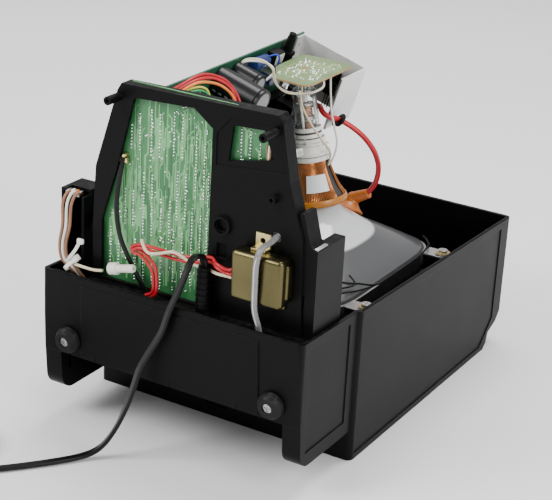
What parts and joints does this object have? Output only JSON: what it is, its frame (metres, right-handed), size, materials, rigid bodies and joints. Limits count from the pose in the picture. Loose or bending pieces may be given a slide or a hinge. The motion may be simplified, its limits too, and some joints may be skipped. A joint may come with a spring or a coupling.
{
  "type": "opened television-type display set",
  "caption": "Compact display set with its rear cover off, lying face down: black moulded case, picture tube, leaning power board, transformer and coiled mains cord.",
  "frame": {"origin": "middle of the set's footprint, on the floor it lies on, at the front face", "axes": "+Z out of the back of the set, +Y to the top of the picture, X across the set"},
  "size_m": [0.3605, 0.5018, 0.292],
  "materials": {
    "case_black": "moulded, fine texture with a soft sheen",
    "trim_black": "moulded matte",
    "frame_black": "matte black",
    "switch_black": "moulded matte",
    "tube_glass": "polished, dark coating on the lower cone",
    "zinc_steel": "zinc plated",
    "yellow_steel": "yellow passivated",
    "can_steel": "yellow passivated sheet",
    "yoke_copper": "varnished winding",
    "ring_white": "moulded",
    "board_sage": "lacquered laminate",
    "board_green": "lacquered laminate",
    "cup_orange": "soft",
    "lead_red": "soft sheath",
    "lead_cream": "soft sheath",
    "lead_brown": "soft sheath",
    "lead_grey": "soft sheath",
    "lead_black": "soft sheath",
    "sink_aluminium": "bare sheet",
    "can_black": "shrunk sleeve",
    "button_red": "moulded",
    "speaker_dark": "painted"
  },
  "bodies": {
    "case": {"front_shell": "case_black", "screen_hood": "trim_black", "picture_tube": "tube_glass", "tube_band": "zinc_steel", "tube_screws": "yellow_steel", "deflection_yoke": "yoke_copper", "yoke_clamp": "ring_white", "clamp_screw": "zinc_steel", "neck_socket": "trim_black", "neck_board": "board_sage", "anode_cup": "cup_orange", "anode_lead": "lead_red", "lead_clip": "trim_black", "earth_wire": "lead_black", "chassis_frame": "frame_black", "frame_screws": "zinc_steel", "logic_board": "board_green", "logic_chips": "trim_black", "board_screws": "zinc_steel", "power_board": "board_green", "heat_sink": "sink_aluminium", "power_transistors": "trim_black", "filter_capacitors": "can_black", "small_capacitors": "can_black", "line_transformer": "trim_black", "sound_chip": "trim_black", "brightness_pot": "trim_black", "power_leads": "lead_red", "loop_leads": "lead_cream", "neck_leads": "lead_cream", "mains_transformer": "can_steel", "transformer_strap": "can_steel", "secondary_leads": "lead_red", "mains_lead_inner": "lead_grey", "strain_relief": "lead_black", "switch_box": "switch_black", "volume_pot": "zinc_steel", "switch_leads": "lead_brown", "splice_connector": "ring_white", "cable_tie": "ring_white", "board_strap": "lead_black", "button_spring": "zinc_steel", "speaker": "speaker_dark", "speaker_screws": "zinc_steel", "hand_control_socket": "trim_black", "rubber_feet": "lead_black", "foot_screws": "zinc_steel", "mains_cord": "lead_black", "mains_cord_coil": "lead_black", "coil_tie": "trim_black", "mains_plug": "lead_black", "plug_pins": "yellow_steel"},
    "volume_knob": {"volume_knob": "trim_black"},
    "brightness_knob": {"brightness_knob": "trim_black"},
    "centring_ring_front": {"centring_ring_front": "ring_white"},
    "centring_ring_rear": {"centring_ring_rear": "ring_white"},
    "reset_button": {"reset_button": "button_red"}
  },
  "joints": [
    {"name": "volume_turn", "type": "hinge", "parent": "case", "child": "volume_knob", "pos_m": [-0.109, -0.14817, 0.113], "axis": [0, 0, 1], "range_deg": [0, 280]},
    {"name": "brightness_turn", "type": "hinge", "parent": "case", "child": "brightness_knob", "pos_m": [-0.04785, 0.066, 0.2718], "axis": [0.284, 0, 0.9588], "range_deg": [-135, 135]},
    {"name": "ring_front_turn", "type": "hinge", "parent": "case", "child": "centring_ring_front", "pos_m": [-0.01115, 0.044, 0.19778], "axis": [-0.1994, 0, 0.9799], "range_deg": [-60, 90]},
    {"name": "ring_rear_turn", "type": "hinge", "parent": "case", "child": "centring_ring_rear", "pos_m": [-0.01174, 0.044, 0.20072], "axis": [-0.1994, 0, 0.9799], "range_deg": [-60, 90]},
    {"name": "reset_press", "type": "slide", "parent": "case", "child": "reset_button", "axis": [1, 0, 0], "range_m": [0, 0.003], "stiffness_N_per_m": 400, "springref_m": -0.002}
  ]
}
